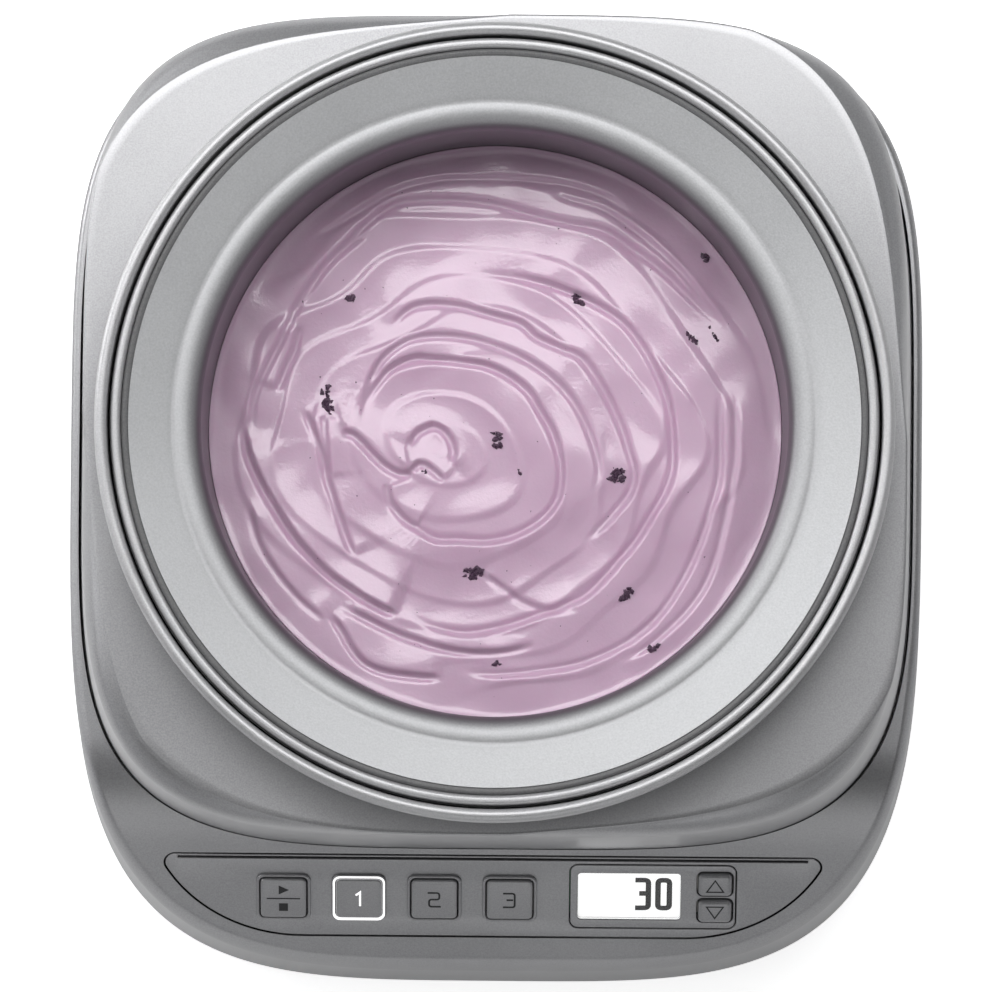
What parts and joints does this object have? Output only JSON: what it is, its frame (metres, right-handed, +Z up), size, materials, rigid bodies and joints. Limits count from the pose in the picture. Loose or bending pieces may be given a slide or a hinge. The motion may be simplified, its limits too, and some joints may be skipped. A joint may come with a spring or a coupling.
{
  "type": "ice cream maker",
  "caption": "Counter-top ice cream maker: a chilled double-walled bowl turns on a geared spindle in a tapered housing with a sloping key and display panel.",
  "frame": {"origin": "on the table at the middle of the footprint; the bowl turns on an upright axis 10.75 mm behind it", "axes": "+Z up, the control panel faces -Y, +X to the right of a person facing the panel"},
  "size_m": [0.2118, 0.2349, 0.205],
  "materials": {
    "housing_silver": "satin metallic silver with a fine sparkle",
    "cover_plastic": "fine-textured dark grey moulding",
    "collar_silver": "satin silver",
    "well_plastic": "plain grey moulding",
    "bowl_shell_plastic": "grey moulding",
    "bowl_aluminium": "fine bead-blasted and anodised",
    "black_rubber": "matt black rubber",
    "coolant": "sealed cooling gel",
    "white_nylon": "natural nylon",
    "berry_ice_cream": "soft berry ice cream",
    "steel": "ground steel",
    "bearing_brass": "sintered bearing metal",
    "gearbox_plastic": "glass-filled dark moulding",
    "clear_lens": "clear window",
    "display_white": "back-lit display",
    "board_green": "circuit board",
    "mat_silicone": "translucent silicone",
    "key_silver": "metallic silver keys",
    "transformer_core": "laminated core and winding"
  },
  "bodies": {
    "base": {"upper_housing": "housing_silver", "lower_housing": "housing_silver", "bottom_cover": "cover_plastic", "deck_collar": "collar_silver", "bowl_well": "well_plastic", "axle_b": "steel", "axle_a": "steel", "lower_bush": "bearing_brass", "upper_bush": "bearing_brass", "shaft_seal": "black_rubber", "gear_case": "gearbox_plastic", "gear_case_lid": "gearbox_plastic", "motor": "steel", "motor_screws": "steel", "gearbox_screws": "steel", "control_panel": "housing_silver", "display_bezel": "housing_silver", "display_lens": "clear_lens", "lcd_module": "display_white", "control_board": "board_green", "key_mat": "mat_silicone", "arrow_mat": "mat_silicone", "power_board": "board_green", "transformer": "transformer_core", "cord_gland": "cover_plastic", "column_screws": "steel", "well_screws": "steel", "cover_screws": "steel", "foot_front_left": "black_rubber", "foot_front_right": "black_rubber", "foot_back_left": "black_rubber", "foot_back_right": "black_rubber"},
    "spindle": {"drive_hub": "white_nylon", "drive_spindle": "steel", "spindle_gear": "white_nylon"},
    "bowl": {"bowl_shell": "bowl_shell_plastic", "bowl_liner": "bowl_aluminium", "bowl_rim_ring": "collar_silver", "bowl_seal": "black_rubber", "bowl_coolant": "coolant", "bowl_socket": "white_nylon", "ice_cream": "berry_ice_cream"},
    "compound_gear_b": {"gear_b": "white_nylon"},
    "compound_gear_a": {"gear_a": "white_nylon"},
    "rotor": {"motor_pinion": "bearing_brass", "motor_shaft": "steel"},
    "key_start": {"start_key": "key_silver"},
    "key_mode_1": {"mode_key_1": "key_silver"},
    "key_mode_2": {"mode_key_2": "key_silver"},
    "key_mode_3": {"mode_key_3": "key_silver"},
    "key_up": {"up_key": "key_silver"},
    "key_down": {"down_key": "key_silver"}
  },
  "joints": [
    {"name": "spindle_spin", "type": "hinge", "parent": "base", "child": "spindle", "pos_m": [0, 0.01075, 0.05], "axis": [0, 0, 1], "continuous": true},
    {"name": "bowl_lift", "type": "slide", "parent": "spindle", "child": "bowl", "axis": [0, 0, 1], "range_m": [0, 0.165]},
    {"name": "gear_b_spin", "type": "hinge", "parent": "base", "child": "compound_gear_b", "pos_m": [0, 0.04855, 0.02], "axis": [0, 0, 1], "continuous": true},
    {"name": "gear_a_spin", "type": "hinge", "parent": "base", "child": "compound_gear_a", "pos_m": [-0.0296, 0.05932, 0.03], "axis": [0, 0, 1], "continuous": true},
    {"name": "rotor_spin", "type": "hinge", "parent": "base", "child": "rotor", "pos_m": [-0.0554, 0.04126, 0.03], "axis": [0, 0, 1], "continuous": true},
    {"name": "start_press", "type": "slide", "parent": "base", "child": "key_start", "axis": [0, 0.5592, -0.829], "range_m": [0, 0.0007], "stiffness_N_per_m": 300},
    {"name": "mode_1_press", "type": "slide", "parent": "base", "child": "key_mode_1", "axis": [0, 0.5592, -0.829], "range_m": [0, 0.0007], "stiffness_N_per_m": 300},
    {"name": "mode_2_press", "type": "slide", "parent": "base", "child": "key_mode_2", "axis": [0, 0.5592, -0.829], "range_m": [0, 0.0007], "stiffness_N_per_m": 300},
    {"name": "mode_3_press", "type": "slide", "parent": "base", "child": "key_mode_3", "axis": [0, 0.5592, -0.829], "range_m": [0, 0.0007], "stiffness_N_per_m": 300},
    {"name": "up_press", "type": "slide", "parent": "base", "child": "key_up", "axis": [0, 0.5592, -0.829], "range_m": [0, 0.0007], "stiffness_N_per_m": 300},
    {"name": "down_press", "type": "slide", "parent": "base", "child": "key_down", "axis": [0, 0.5592, -0.829], "range_m": [0, 0.0007], "stiffness_N_per_m": 300}
  ],
  "couplings": [
    {"joint": "gear_b_spin", "follows": "spindle_spin", "ratio": -5},
    {"joint": "gear_a_spin", "follows": "spindle_spin", "ratio": 20},
    {"joint": "rotor_spin", "follows": "spindle_spin", "ratio": -80}
  ]
}
